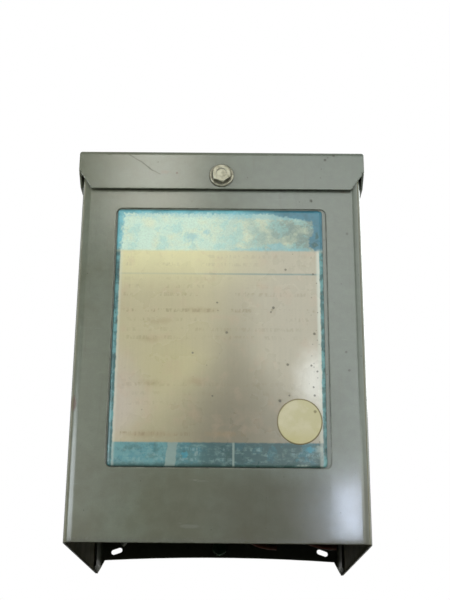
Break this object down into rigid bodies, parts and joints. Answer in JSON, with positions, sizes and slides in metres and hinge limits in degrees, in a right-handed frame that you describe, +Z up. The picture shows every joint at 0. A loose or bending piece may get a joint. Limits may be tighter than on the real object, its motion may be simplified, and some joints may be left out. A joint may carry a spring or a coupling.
{
  "type": "dry-type transformer",
  "caption": "Small wall-mounted dry-type transformer: folded sheet-steel case open at the bottom, drip cap held by a hex screw, label field, potted coil can inside.",
  "frame": {"origin": "middle of the overall plan at the level of the case's bottom edges", "axes": "+Z up, -Y the front with the label, +X to the right seen from the front"},
  "size_m": [0.1568, 0.1542, 0.2135],
  "materials": {
    "case_paint": "semi-gloss enamel, worn",
    "plated_steel": "zinc plated, dulled",
    "label_foil": "printed foil, worn matt",
    "sticker_paper": "aged paper",
    "can_steel": "black dip enamel",
    "compound": "cast resin and sand",
    "ground_green": "green plated screw, dulled",
    "lead_brown": "red-brown lead insulation, dusty",
    "lead_white": "grey-white lead insulation, dusty"
  },
  "bodies": {
    "root": {"case_wrap": "case_paint", "back_panel": "case_paint", "top_cap": "case_paint", "cap_screw": "plated_steel", "cap_nut": "plated_steel", "nameplate": "label_foil", "round_sticker": "sticker_paper", "coil_can": "can_steel", "potting_compound": "compound", "ground_screw": "ground_green", "lead_right": "lead_brown", "lead_middle": "lead_brown", "lead_left": "lead_white"}
  },
  "joints": []
}
